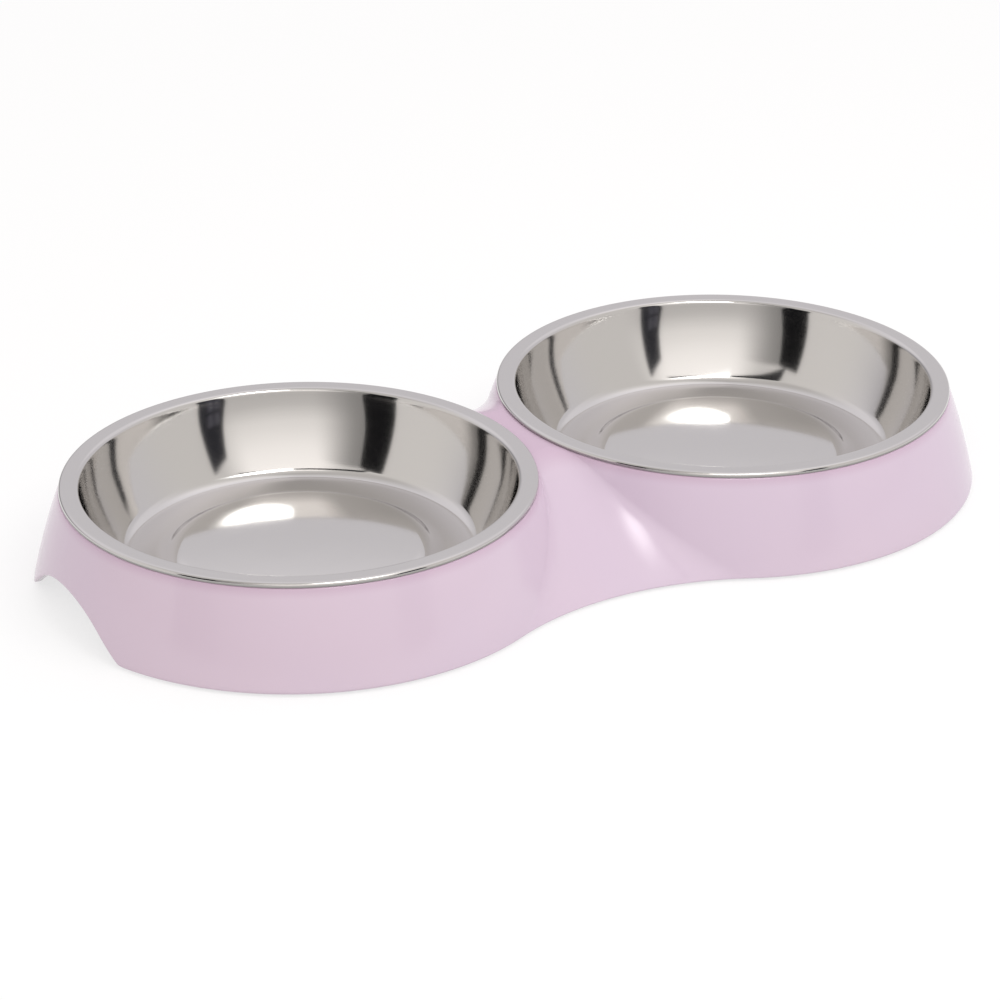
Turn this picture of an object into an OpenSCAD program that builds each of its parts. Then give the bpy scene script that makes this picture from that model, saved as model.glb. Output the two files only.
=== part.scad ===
// Double pet bowl: a moulded stand on rubber feet carries two lift-out steel bowls.
// Millimetres. The table top is z = 0, the bowls stand side by side along X, and the front is -Y.

/* [Steel bowls] */
// Radius of a bowl over its rim
rim_r = 75; // [66:0.5:90]
// Width of the flat rim, from its outer edge to where it bends down into the bowl
flange_w = 5; // [4:0.25:8]
// How far the rim's outer edge is turned down
lip_drop = 1.5; // [1.2:0.1:3]
// Radius of the bend over the rim's outer edge
lip_bend_r = 0.9; // [0.7:0.05:1.1]
// Radius of the bend from the rim into the wall, on the inside
mouth_bend_r = 1.4; // [1:0.1:3]
// Steepness of the wall just under the rim, in degrees from level
wall_top_slope = 77; // [70:1:82]
// Steepness of the wall below its steep upper band
wall_mid_slope = 67; // [63:1:69]
// Steepness of the wall where it reaches the bottom bend
wall_low_slope = 56; // [53:1:60]
// Length of the steep upper band of the wall, down the slope
wall_band_l = 9.5; // [6:0.5:12]
// Radius of the bend from the wall into the floor
bottom_bend_r = 5.5; // [4:0.25:8]
// Depth of a bowl from the rim to the lowest ring of its floor
bowl_depth = 26.25; // [24:0.25:35]
// Width of the level ring around the raised middle of the floor
floor_ring_w = 7.5; // [5:0.1:10]
// Radius of the two bends of that step
step_bend_r = 8; // [5:0.25:9]
// Steepness of the step at its middle, in degrees
step_slope = 36; // [24:1:40]
// Steepness of the crowned middle at its edge, in degrees
crown_slope = 3; // [2:0.5:6]
// Thickness of the steel
steel_t = 0.6; // [0.4:0.05:0.8]

/* [Moulded stand] */
// Gap between the two rims
rim_gap = 6.7; // [5:0.1:14]
// Space between the underside of a bowl and the table
under_clear = 6.25; // [5:0.25:12]
// How far the skirt spreads outward from its top to its foot
skirt_flare = 9.2; // [6:0.1:14]
// How far the skirt bulges out at half height
skirt_bulge = 0.6; // [0.2:0.1:1.2]
// Thickness of the skirt
skirt_t = 3; // [2.4:0.1:4]
// Thickness of the flat top under the rims
deck_t = 3; // [2.4:0.1:4]
// Height of the upright band where the hollow meets the deck
hollow_rim_h = 0.5; // [0.2:0.1:1.5]
// How far the waist is drawn in at the foot, from the widest line of the skirt
waist_dip = 17.8; // [12:0.2:24]
// Half width of the level bridge between the two bowls
bridge_w = 16.5; // [12:0.5:20]
// Share of the height that sets how early the waist falls away below the bridge
waist_fall_share = 0.68; // [0.6:0.01:0.85]
// Radius of the skirt's bottom edge
foot_edge_r = 0.9; // [0.5:0.05:1.1]
// Gap between a bowl's wall and the hole that it hangs in
seat_clear = 0.8; // [0.5:0.05:1.5]

/* [Finger notches] */
// Half width of a notch at the foot of the skirt
notch_half_w = 32.2; // [26:0.2:38]
// Height of a notch above the foot of the skirt
notch_h = 13.4; // [9:0.1:15]
// Steepness of the straight sides of a notch, in degrees
notch_slope = 34; // [30:1:40]

/* [Rubber feet] */
// Radius of a foot
foot_r = 4; // [3:0.1:5]
// How far a foot stands below the skirt
foot_proud = 0.8; // [0.5:0.05:1.5]
// Depth of the pocket that holds a foot
pocket_depth = 1.2; // [0.9:0.05:2]
// Gap around a foot in its pocket
pocket_clear = 0.15; // [0.1:0.01:0.3]
// Width of the chamfer under a foot
foot_chamfer = 0.3; // [0.2:0.05:0.5]
// Thickness of the moulded boss around a pocket
boss_wall = 2; // [1.5:0.1:2.5]
// Height of a boss
boss_h = 4; // [3:0.25:6]
// How far a boss stays inside the outer face of the skirt
boss_inset = 0.6; // [0.4:0.1:1.2]
// Angle of the end feet from the long axis, in degrees
foot_angle = 50; // [42:1:62]

/* [Hidden] */

$fn = 96;
// Overrun of every cut past the face that it opens
cut = 1;
// Counts of straight steps in the curves
bend_steps = 6;
wall_steps = 5;
crown_steps = 7;
end_steps = 9;
side_steps = 5;
waist_steps = 6;
skirt_levels = 9;
edge_steps = 2;
notch_steps = 12;
// Levels crowd towards the top, where the waist falls away fastest
level_power_share = 1.5;

// Heights
shell_h = bowl_depth + steel_t + under_clear - lip_drop - foot_proud;
deck_z = foot_proud + shell_h;
rim_z = deck_z + lip_drop;

// Plan of the stand
bowl_x = rim_r + rim_gap / 2;
skirt_top_r = rim_r;
skirt_foot_r = skirt_top_r + skirt_flare;
waist_foot_w = skirt_foot_r - waist_dip;
seat_r = rim_r - flange_w + seat_clear;
boss_r = foot_r + pocket_clear + boss_wall;

steel_colour = [0.78, 0.78, 0.77];
shell_colour = [0.86, 0.77, 0.84];
rubber_colour = [0.16, 0.16, 0.17];

// Arc length of a bend of radius r through an angle in degrees
function bend(r, angle) = r * angle * PI / 180;

// Drop of a run of length l whose slope changes steadily from a to b degrees
function run_drop(l, a, b) = a == b ? l * sin(a) : l * (cos(a) - cos(b)) / ((b - a) * PI / 180);

// Inward travel of the same run
function run_in(l, a, b) = a == b ? l * cos(a) : l * (sin(b) - sin(a)) / ((b - a) * PI / 180);

function total(v, i = 0) = i < len(v) ? v[i] + total(v, i + 1) : 0;

// The runs of a bowl's upper face from the lip to the bottom bend: length, slopes at both ends, steps
lip_runs = [
    [lip_drop - lip_bend_r, -90, -90, 1],
    [bend(lip_bend_r, 90), -90, 0, bend_steps],
    [flange_w - lip_bend_r, 0, 0, 1]
];
mouth_run = [bend(mouth_bend_r, wall_top_slope), 0, wall_top_slope, bend_steps];
band_run = [wall_band_l, wall_top_slope, wall_mid_slope, wall_steps];
bottom_run = [bend(bottom_bend_r, wall_low_slope), wall_low_slope, 0, bend_steps];
fixed_drop = total([for (r = [mouth_run, band_run, bottom_run]) run_drop(r[0], r[1], r[2])]);
wall_l = (bowl_depth - fixed_drop) / run_drop(1, wall_mid_slope, wall_low_slope);
wall_run = [wall_l, wall_mid_slope, wall_low_slope, wall_steps];
dish_runs = [mouth_run, band_run, wall_run, bottom_run];
ring_outer_r = rim_r - flange_w - total([for (r = dish_runs) run_in(r[0], r[1], r[2])]);

// The floor: a level ring, a step up and a crowned middle
disc_r = ring_outer_r - floor_ring_w;
step_up_run = [bend(step_bend_r, step_slope), 0, -step_slope, wall_steps];
step_top_run = [bend(step_bend_r, step_slope - crown_slope), -step_slope, -crown_slope, wall_steps];
crown_edge_r = disc_r - total([for (r = [step_up_run, step_top_run]) run_in(r[0], r[1], r[2])]);
crown_run = [bend(crown_edge_r / sin(crown_slope), crown_slope), -crown_slope, 0, crown_steps];
floor_runs = [[floor_ring_w, 0, 0, 1], step_up_run, step_top_run, crown_run];
bowl_runs = concat(lip_runs, dish_runs, floor_runs);

// Where each run starts, counted from the lip's lower outer edge at (rim_r, -lip_drop)
run_starts = [
    for (i = 0, p = [rim_r, -lip_drop];
         i <= len(bowl_runs);
         p = i < len(bowl_runs) ? p - [
                 run_in(bowl_runs[i][0], bowl_runs[i][1], bowl_runs[i][2]),
                 run_drop(bowl_runs[i][0], bowl_runs[i][1], bowl_runs[i][2])
             ] : p,
         i = i + 1) p
];

// Point at a share s of run i, moved below the upper face by t
function run_point(i, s, t) =
    let (
        r = bowl_runs[i],
        a = r[1] + (r[2] - r[1]) * s,
        p = run_starts[i] - [run_in(r[0] * s, r[1], a), run_drop(r[0] * s, r[1], a)]
    )
    [max(p[0] + t * sin(a), 0), p[1] - t * cos(a)];

function bowl_side(t) = concat(
    [run_point(0, 0, t)],
    [for (i = [0 : len(bowl_runs) - 1]) for (k = [1 : bowl_runs[i][3]]) run_point(i, k / bowl_runs[i][3], t)]
);

function reversed(v) = [for (i = [len(v) - 1 : -1 : 0]) v[i]];

// One pressed bowl, with its rim's upper face at z = 0
module steel_bowl() {
    color(steel_colour)
        rotate_extrude()
            polygon(concat(bowl_side(0), reversed(bowl_side(steel_t))));
}

// Plan radius of a tub and half width of the waist at a share u of the height down from the deck
function tub_r(u) = skirt_top_r + skirt_flare * u + skirt_bulge * 4 * u * (1 - u);
function waist_w(u) = bridge_w + (waist_foot_w - bridge_w) * pow(u, waist_fall_share);

// Radius of the hollow arc that joins two tubs of radius r at a waist of half width w
function blend_r(r, w) = (w * w + bowl_x * bowl_x - r * r) / (2 * (r - w));

// Angle around a tub's centre, from the outer end, at which the hollow arc starts
function blend_angle(r, w) = 180 - atan2(w + blend_r(r, w), bowl_x);

// Points of a tub of radius r from one angle to another, without the first
function tub_points(r, from, to, steps) = [
    for (k = [1 : steps])
        let (t = from + (to - from) * k / steps)
        [bowl_x + r * cos(t), r * sin(t)]
];

// Points of the hollow arc from the tub to the middle of the waist
function waist_points(r, w) =
    let (
        q = blend_r(r, w),
        a = blend_angle(r, w)
    )
    [
        for (k = [1 : waist_steps])
            let (t = a - 180 - (a - 90) * k / waist_steps)
            [q * cos(t), w + q + q * sin(t)]
    ];

// A quarter of the stand's outline, from its +X end to the waist
function quarter(r, w) = concat(
    [[bowl_x + r, 0]],
    tub_points(r, 0, 90, end_steps),
    tub_points(r, 90, blend_angle(r, w), side_steps),
    waist_points(r, w)
);

// The whole outline, counter-clockwise
function outline(r, w) =
    let (
        q = quarter(r, w),
        n = len(q) - 1
    )
    concat(
        [for (i = [0 : n - 1]) q[i]],
        [for (i = [n : -1 : 1]) [-q[i][0], q[i][1]]],
        [for (i = [0 : n - 1]) [-q[i][0], -q[i][1]]],
        [for (i = [n : -1 : 1]) [q[i][0], -q[i][1]]]
    );

// A wall that runs round the whole outline. Each level of its section is [z, tub radius, waist half width],
// listed down the inside and up the outside, and the last level joins the first.
module wall(levels) {
    rings = [for (v = levels) [for (p = outline(v[1], v[2])) [p[0], p[1], v[0]]]];
    n = len(rings[0]);
    m = len(rings);
    polyhedron(
        points = [for (ring = rings) for (p = ring) p],
        faces = [
            for (j = [0 : m - 1])
                for (i = [0 : n - 1])
                    let (
                        a = j * n + i,
                        b = j * n + (i + 1) % n,
                        c = (j + 1) % m * n + i,
                        d = (j + 1) % m * n + (i + 1) % n
                    )
                    each [[a, c, d], [a, d, b]]
        ]
    );
}

// Shares of the height at which the skirt has a level, from the foot up
level_shares = [for (i = [skirt_levels : -1 : 0]) pow(i / skirt_levels, level_power_share)];
edge_share = foot_edge_r / shell_h;

// Levels of the outside, from its rounded bottom edge up past the deck
outer_levels = concat(
    [
        for (k = [0 : edge_steps - 1])
            let (
                a = 90 * k / edge_steps,
                inset = foot_edge_r * (1 - sin(a)),
                rise = foot_edge_r * (1 - cos(a)),
                u = 1 - rise / shell_h
            )
            [foot_proud + rise, tub_r(u) - inset, waist_w(u) - inset]
    ],
    [
        for (u = level_shares)
            let (v = min(u, 1 - edge_share))
            if (u <= 1 - edge_share || u == 1)
                [deck_z - shell_h * v, tub_r(v), waist_w(v)]
    ],
    [[deck_z + 2 * cut, tub_r(0), waist_w(0)]]
);

// Levels of the hollow inside, from the foot up past the deck
hollow_h = shell_h - deck_t - hollow_rim_h;
inner_levels = concat(
    [
        for (u = level_shares)
            [foot_proud + hollow_h * (1 - u), tub_r(u) - skirt_t, waist_w(u) - skirt_t]
    ],
    [[deck_z + 2 * cut, tub_r(0) - skirt_t, waist_w(0) - skirt_t]]
);

// Where the feet stand: x, y, each boss just inside the skirt at its own height
boss_top_share = 1 - boss_h / shell_h;
boss_ring_r = tub_r(boss_top_share) - boss_inset - boss_r;
end_foot = [bowl_x + boss_ring_r * cos(foot_angle), boss_ring_r * sin(foot_angle)];
middle_foot = [0, waist_w(boss_top_share) - boss_inset - boss_r];
foot_places = [
    [-end_foot[0], -end_foot[1]],
    [middle_foot[0], -middle_foot[1]],
    [end_foot[0], -end_foot[1]],
    [-end_foot[0], end_foot[1]],
    [middle_foot[0], middle_foot[1]],
    [end_foot[0], end_foot[1]]
];

// Outline of a finger notch in the plane of the skirt's end: straight sides under a round crown
notch_arc_r = (notch_half_w * sin(notch_slope) - notch_h * cos(notch_slope)) / (1 - cos(notch_slope));
notch_outline = concat(
    [
        [-notch_half_w - cut / tan(notch_slope), -cut],
        [notch_half_w + cut / tan(notch_slope), -cut]
    ],
    [
        for (k = [0 : notch_steps])
            let (t = notch_slope * (1 - 2 * k / notch_steps))
            [notch_arc_r * sin(t), notch_h - notch_arc_r * (1 - cos(t))]
    ]
);

module notch_cut(side) {
    reach = skirt_foot_r - seat_r + cut;
    translate([side * (bowl_x + seat_r + reach / 2), 0, foot_proud])
        rotate([90, 0, 90])
            linear_extrude(reach, center = true)
                polygon(notch_outline);
}

// A cylinder over each foot, from below the skirt's foot by an overrun up to height h
module at_feet(r, h, overrun) {
    for (p = foot_places)
        translate([p[0], p[1], foot_proud - overrun])
            cylinder(r = r, h = h + overrun);
}

// The flat top between the walls, with an overrun above it
module deck() {
    translate([0, 0, deck_z - deck_t])
        linear_extrude(deck_t + cut)
            polygon(outline(tub_r(0) - skirt_t / 2, waist_w(0) - skirt_t / 2));
}

// The moulded stand
module base_shell() {
    length = 2 * (bowl_x + skirt_foot_r);
    width = 2 * skirt_foot_r;
    color(shell_colour)
        difference() {
            union() {
                wall(concat(reversed(inner_levels), outer_levels));
                deck();
                at_feet(boss_r, boss_h, 0);
            }
            translate([-length / 2, -width / 2, deck_z])
                cube([length, width, 3 * cut]);
            for (side = [-1, 1]) {
                translate([side * bowl_x, 0, deck_z - deck_t - cut])
                    cylinder(r = seat_r, h = deck_t + 2 * cut);
                notch_cut(side);
            }
            at_feet(foot_r + pocket_clear, pocket_depth, cut);
        }
}

// One rubber foot, glued into its pocket
module rubber_foot(place) {
    foot_t = foot_proud + pocket_depth;
    color(rubber_colour)
        translate([place[0], place[1], 0])
            rotate_extrude()
                polygon([
                    [0, 0],
                    [foot_r - foot_chamfer, 0],
                    [foot_r, foot_chamfer],
                    [foot_r, foot_t],
                    [0, foot_t]
                ]);
}

module left_bowl() { translate([-bowl_x, 0, rim_z]) steel_bowl(); }
module right_bowl() { translate([bowl_x, 0, rim_z]) steel_bowl(); }
module foot_front_left() { rubber_foot(foot_places[0]); }
module foot_front_middle() { rubber_foot(foot_places[1]); }
module foot_front_right() { rubber_foot(foot_places[2]); }
module foot_back_left() { rubber_foot(foot_places[3]); }
module foot_back_middle() { rubber_foot(foot_places[4]); }
module foot_back_right() { rubber_foot(foot_places[5]); }

base_shell();
left_bowl();
right_bowl();
foot_front_left();
foot_front_middle();
foot_front_right();
foot_back_left();
foot_back_middle();
foot_back_right();
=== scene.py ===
# %% [markdown]
# # A double pet bowl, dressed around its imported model
# Two pressed steel bowls hang by their rims in one glossy moulded stand with a drawn-in waist, and the
# stand rests on six small rubber feet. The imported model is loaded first, as a fixed frame: every piece
# made below takes its place and its main sizes from it, in metres, with +X along the row of bowls, +Y to
# the back and the floor at z = 0. Nothing in the frame is moved, so each new piece is built where it
# belongs, stands for the plain piece of the frame, and rides on that piece's body.

# %% Load the frame and measure it
import math

import bmesh
import bpy
import numpy as np
from mathutils import Matrix, Vector


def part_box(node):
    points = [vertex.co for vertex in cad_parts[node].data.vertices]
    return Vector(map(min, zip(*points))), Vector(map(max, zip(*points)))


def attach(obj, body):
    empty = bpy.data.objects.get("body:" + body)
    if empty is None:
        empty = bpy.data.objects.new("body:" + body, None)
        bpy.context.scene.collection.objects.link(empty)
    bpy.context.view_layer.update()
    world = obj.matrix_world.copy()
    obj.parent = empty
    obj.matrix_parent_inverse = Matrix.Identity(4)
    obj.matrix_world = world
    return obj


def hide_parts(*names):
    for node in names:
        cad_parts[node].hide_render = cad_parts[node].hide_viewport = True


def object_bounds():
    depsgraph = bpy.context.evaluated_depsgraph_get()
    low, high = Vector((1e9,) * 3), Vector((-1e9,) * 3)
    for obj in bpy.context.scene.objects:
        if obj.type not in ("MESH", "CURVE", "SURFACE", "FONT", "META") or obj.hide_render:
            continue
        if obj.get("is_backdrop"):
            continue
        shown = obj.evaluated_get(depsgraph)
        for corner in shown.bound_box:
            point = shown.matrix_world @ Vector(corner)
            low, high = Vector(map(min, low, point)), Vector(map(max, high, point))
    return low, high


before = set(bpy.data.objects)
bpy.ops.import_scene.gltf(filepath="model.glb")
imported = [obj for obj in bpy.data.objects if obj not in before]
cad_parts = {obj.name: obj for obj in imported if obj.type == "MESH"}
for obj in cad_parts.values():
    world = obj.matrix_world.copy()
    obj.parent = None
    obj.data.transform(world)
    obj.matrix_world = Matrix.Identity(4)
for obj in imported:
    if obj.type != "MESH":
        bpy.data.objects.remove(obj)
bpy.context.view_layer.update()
MM = 0.001
bowl_low, bowl_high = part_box("left_bowl")
shell_low, shell_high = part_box("base_shell")
RIM_R = (bowl_high.y - bowl_low.y) / 2
RIM_Z = bowl_high.z
BOWL_X = -(bowl_low.x + bowl_high.x) / 2
DECK_Z = shell_high.z
FOOT_Z = shell_low.z
print(f"rim radius {RIM_R / MM:.2f} mm, rims {RIM_Z / MM:.2f} mm up, bowls {2 * BOWL_X / MM:.2f} mm apart")

# %% [markdown]
# ## The camera
# The photograph looks over the near bowl to the far one, a little down and through a long lens, so the
# two bowls stay close to the same size. The camera is placed by the two angles of that view, then slid
# sideways and down until the object sits where it does in the picture. Sliding the camera keeps the lens
# straight, so no lens shift is needed.

# %% Place the camera
VIEW_AZIMUTH = math.radians(-29.354)
VIEW_ELEVATION = math.radians(25.317)
VIEW_DISTANCE = 1.166
SLIDE_RIGHT = -0.0055
SLIDE_UP = -0.0238
LENS_MM = 130.3
FARTHEST_SEEN = 50

towards_camera = Vector((math.sin(VIEW_AZIMUTH), -math.cos(VIEW_AZIMUTH), 0))
camera_right = Vector((math.cos(VIEW_AZIMUTH), math.sin(VIEW_AZIMUTH), 0))
line_of_sight = towards_camera * math.cos(VIEW_ELEVATION) + Vector((0, 0, math.sin(VIEW_ELEVATION)))
camera_up = line_of_sight.cross(camera_right)
rim_centre = Vector((0, 0, RIM_Z))

camera_data = bpy.data.cameras.new("photo_camera")
camera_data.lens = LENS_MM
camera_data.clip_end = FARTHEST_SEEN
camera = bpy.data.objects.new("photo_camera", camera_data)
turn = Matrix((camera_right, camera_up, line_of_sight)).transposed().to_4x4()
place = rim_centre + line_of_sight * VIEW_DISTANCE + camera_right * SLIDE_RIGHT + camera_up * SLIDE_UP
camera.matrix_world = Matrix.Translation(place) @ turn
bpy.context.scene.collection.objects.link(camera)
bpy.context.scene.camera = camera
bpy.context.scene.view_settings.view_transform = "Standard"
print("camera at", [round(v, 3) for v in place])

# %% [markdown]
# ## Shader maths as plain sums
# A node tree is hard to read when every sum takes five lines of Python. The class below wraps one output
# of a node. Adding, subtracting, multiplying or dividing it adds the Math node that does so, also when
# the number stands on the left, as in `1 - mask`. Every other node comes from one method, which takes the
# node's type, its settings and what goes into its sockets. It works in a Geometry Nodes tree as well.

# %% One class for sums on sockets
def find_socket(sockets, key):
    """The socket with that number, identifier or name."""
    if isinstance(key, int):
        return sockets[key]
    named = [s for s in sockets if s.identifier == key] or [s for s in sockets if s.name == key]
    return named[0]


class Socket:
    """One output in a node tree. Sums on it add Math nodes, and node() adds any other node."""

    def __init__(self, tree, output=None):
        self.tree = tree
        self.output = output

    def node(self, kind, settings=None, sockets=None, out=0):
        """Adds a node of that type, sets it up, fills its sockets and returns one of its outputs."""
        made = self.tree.nodes.new(kind)
        for name, value in (settings or {}).items():
            if name == "stops":
                fill_ramp(made.color_ramp, value)
            else:
                setattr(made, name, value)
        for key, value in (sockets or {}).items():
            into = find_socket(made.inputs, key)
            if isinstance(value, Socket):
                self.tree.links.new(value.output, into)
            else:
                into.default_value = value
        return Socket(self.tree, find_socket(made.outputs, out)) if made.outputs else None

    def maths(self, operation, *values):
        """Adds a Math node on those values."""
        return self.node("ShaderNodeMath", {"operation": operation}, dict(enumerate(values)))

    def __add__(self, other):
        return self.maths("ADD", self, other)

    def __sub__(self, other):
        return self.maths("SUBTRACT", self, other)

    def __rsub__(self, other):
        return self.maths("SUBTRACT", other, self)

    def __mul__(self, other):
        return self.maths("MULTIPLY", self, other)

    def __truediv__(self, other):
        return self.maths("DIVIDE", self, other)

    __radd__ = __add__
    __rmul__ = __mul__


def fill_ramp(ramp, stops):
    """Puts a grey at each position of a colour ramp."""
    while len(ramp.elements) < len(stops):
        ramp.elements.new(1)
    for element, (position, level) in zip(ramp.elements, stops):
        element.position = position
        element.color = (level, level, level, 1)


def smooth_step(value, low, high):
    """0 below low, 1 above high and a smooth rise between them. With low above high it falls instead."""
    settings = {"interpolation_type": "SMOOTHSTEP"}
    if low < high:
        return value.node("ShaderNodeMapRange", settings, {"Value": value, 1: low, 2: high, 3: 0, 4: 1})
    return value.node("ShaderNodeMapRange", settings, {"Value": value, 1: high, 2: low, 3: 1, 4: 0})


def new_material(name):
    """An empty material and the start of its node tree."""
    material = bpy.data.materials.new(name)
    material.use_nodes = True
    material.node_tree.nodes.clear()
    return material, Socket(material.node_tree)


# %% [markdown]
# ## The studio
# Polished steel shows nothing but what stands around it, so the studio decides how the bowls look. The
# photograph's reflections look like those of a white tent: pale cloth all round, two tall dark gaps
# beside the camera, shaded cloth next to the left one, paler panes in the right one, a grey beam high
# over the camera, and a soft lamp up to the right. The cloth is the world, as if it were far away and
# even. The rest are cards at a distance, because the two bowls see them from different places. Only the
# cloth and one lamp light the matt surfaces. The cards show in reflections, and the camera looks at a
# white background. The places and levels below are guesses, tuned until the bowls looked the same.

# %% Levels of the cloth
# Azimuths turn from the camera to its right and elevations rise from the floor, both in degrees. A place
# is a centre and a width, and a fade is where a change starts and where it is complete. The back's fade
# goes by how far a ray points to the front, from 1 straight ahead to -1 straight back. The front's rise
# gives a level at each share of the way up to FRONT_RISE_END.
WHITE = (1, 1, 1, 1)
FRONT_TINT = (1.02, 0.985, 0.955, 1)
BACK_TINT = (1.0, 0.972, 1.01, 1)
SIDE_CLOTH = 0.745
FRONT_RISE = [(0, 0.60), (0.2, 0.67), (0.45, 0.97), (0.7, 1.20), (1, 1.36)]
FRONT_RISE_END = 48
FRONT_LEFT_FADE = (-34, -8)
FRONT_RIGHT_FADE = (58, 34)
FRONT_TOP_FADE = (72, 62)
BACK_FADE = (0.25, -0.6)
BACK_DIM = 0.015
BACK_RISE = 0.14
BACK_RISE_FADE = (25, 33)
BACK_RIGHT_EXTRA = 0.26
BACK_RIGHT_PLACE = (135, 42)
BACK_RIGHT_FADE = (40, 66)
BACK_LEFT_DIM = 0.4
BACK_LEFT_PLACE = (-140, 32)
BACK_LEFT_FADE = (26, 10)
LEFT_EXTRA = 0.06
LEFT_DIM = 0.14
LEFT_PLACE = (-80, 55)
LEFT_TOP_FADE = (38, 58)
ZENITH = 0.60
ZENITH_FADE = (76, 88)

# %% Which way a ray looks
world = bpy.data.worlds.new("white_tent")
world.use_nodes = True
world.node_tree.nodes.clear()
bpy.context.scene.world = world
sky = Socket(world.node_tree)
direction = sky.node("ShaderNodeTexCoord", out="Generated")


def dot_with(vector, fixed):
    """How far a direction points along a fixed one."""
    settings = {"operation": "DOT_PRODUCT"}
    return vector.node("ShaderNodeVectorMath", settings, {0: vector, 1: fixed}, out="Value")


along_front = dot_with(direction, towards_camera)
along_right = dot_with(direction, camera_right)
height = dot_with(direction, (0, 0, 1))
azimuth = along_front.maths("ARCTAN2", along_right, along_front) * (180 / math.pi)
elevation = height.maths("ARCSINE", height) * (180 / math.pi)


def hill(value, centre, width):
    """1 at the centre, falling away smoothly to either side."""
    step = (value - centre) / width
    return step.maths("EXPONENT", step * step * -1)


# %% The white tent
back = smooth_step(along_front, *BACK_FADE)
ahead = smooth_step(azimuth, *FRONT_LEFT_FADE) * smooth_step(azimuth, *FRONT_RIGHT_FADE)
ahead = ahead * smooth_step(elevation, *FRONT_TOP_FADE)
rise = sky.node("ShaderNodeValToRGB", {"stops": FRONT_RISE}, {0: elevation / FRONT_RISE_END})
back_right = hill(azimuth, *BACK_RIGHT_PLACE) * smooth_step(elevation, *BACK_RIGHT_FADE)
back_left = hill(azimuth, *BACK_LEFT_PLACE) * smooth_step(elevation, *BACK_LEFT_FADE)
left = hill(azimuth, *LEFT_PLACE)
high_left = left * smooth_step(elevation, *LEFT_TOP_FADE)
walls = SIDE_CLOTH + back_right * BACK_RIGHT_EXTRA + left * LEFT_EXTRA - high_left * (LEFT_DIM + LEFT_EXTRA)
walls = walls - back_left * BACK_LEFT_DIM
walls = walls + back * (smooth_step(elevation, *BACK_RISE_FADE) * BACK_RISE - BACK_DIM)
walls = walls + ahead * (rise - walls)
cloth = walls + smooth_step(elevation, *ZENITH_FADE) * (ZENITH - walls)
seen = sky.node("ShaderNodeLightPath", out="Is Camera Ray")
strength = cloth + seen * (1 - cloth)
tint = sky.node(
    "ShaderNodeMix",
    {"data_type": "RGBA"},
    {"Factor_Float": back, "A_Color": FRONT_TINT, "B_Color": BACK_TINT},
    out="Result_Color",
)
shown = sky.node(
    "ShaderNodeMix",
    {"data_type": "RGBA"},
    {"Factor_Float": seen, "A_Color": tint, "B_Color": WHITE},
    out="Result_Color",
)
tent = sky.node("ShaderNodeBackground", sockets={"Color": shown, "Strength": strength})
sky.node("ShaderNodeOutputWorld", sockets={"Surface": tent})
print("the tent has", len(world.node_tree.nodes), "nodes")

# %% A card
def ground_point(front, right, height):
    """A place by its distance towards the camera, to the camera's right and above the floor."""
    return towards_camera * front + camera_right * right + Vector((0, 0, height))


def card(name, corners, finish):
    """A flat card on four corners: front, right, height of each, from the lower inner one by the outer ones
    to the upper inner one. The camera never sees it, and it casts no shadow."""
    mesh = bpy.data.meshes.new(name)
    mesh.from_pydata([ground_point(*corner) for corner in corners], [], [(0, 1, 2, 3)])
    layer = mesh.uv_layers.new(name="card")
    for loop, spot in zip(layer.data, [(0, 0), (1, 0), (1, 1), (0, 1)]):
        loop.uv = spot
    made = bpy.data.objects.new(name, mesh)
    bpy.context.scene.collection.objects.link(made)
    mesh.materials.append(finish)
    made.visible_camera = False
    made.visible_shadow = False
    made.visible_diffuse = False
    made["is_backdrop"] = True


# %% The light of a card
CORE_CENTRE = (0.40, 0.50)
CORE_EDGES = (0.12, 0.50)
FIRST_REFLECTION = (1.6, 1.4)


def card_light(name, level, colour, fades, core=0, cover=1, once=False):
    """Light from a card that turns see-through towards its edges, over a share of the card for each edge:
    inner, outer, lower and upper. The core is extra light in the middle, the cover how solid the card is,
    and once keeps the card out of reflections of reflections."""
    material, start = new_material(name)
    spot = start.node("ShaderNodeUVMap", {"uv_map": "card"})
    across = start.node("ShaderNodeSeparateXYZ", sockets={0: spot}, out=0)
    up = start.node("ShaderNodeSeparateXYZ", sockets={0: spot}, out=1)
    solid = cover
    for way, from_edge, fade in zip((across, across, up, up), (0, 1, 0, 1), fades):
        if fade:
            solid = smooth_step(way, from_edge, abs(from_edge - fade)) * solid
    if once:
        solid = smooth_step(start.node("ShaderNodeLightPath", out="Ray Depth"), *FIRST_REFLECTION) * solid
    if core:
        beside = across - CORE_CENTRE[0]
        above = up - CORE_CENTRE[1]
        off = beside * beside + above * above
        level = level + smooth_step(off.maths("SQRT", off), CORE_EDGES[1], CORE_EDGES[0]) * core
    clear = start.node("ShaderNodeBsdfTransparent")
    glow = start.node("ShaderNodeEmission", sockets={"Color": (*colour, 1), "Strength": level})
    mixed = start.node("ShaderNodeMixShader", sockets={0: solid, 1: clear, 2: glow})
    start.node("ShaderNodeOutputMaterial", sockets={"Surface": mixed})
    return material


black = card_light("dark_gap", 0.008, (0.9, 0.9, 1.0), (0.03, 0.03, 0.02, 0.06))
slate = card_light("slate_gap", 0.03, (0.8, 0.8, 1.0), (0.03, 0.03, 0.02, 0.10))
panes = card_light("window_panes", 0.10, (0.86, 0.84, 1.0), (0.06, 0.06, 0.05, 0.05))
shade = card_light("shaded_cloth", 0.10, (1.0, 0.97, 0.93), (1.0, 0.0, 0.02, 0.05), cover=0.66)
grey = card_light("dark_beam", 0.03, (0.95, 0.95, 1.0), (0.04, 0.04, 0.06, 0.12), once=True)
glow = card_light("soft_lamp", 1.7, (1.0, 1.0, 0.985), (0.04, 0.40, 0.16, 0.12), core=8.0)

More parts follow.
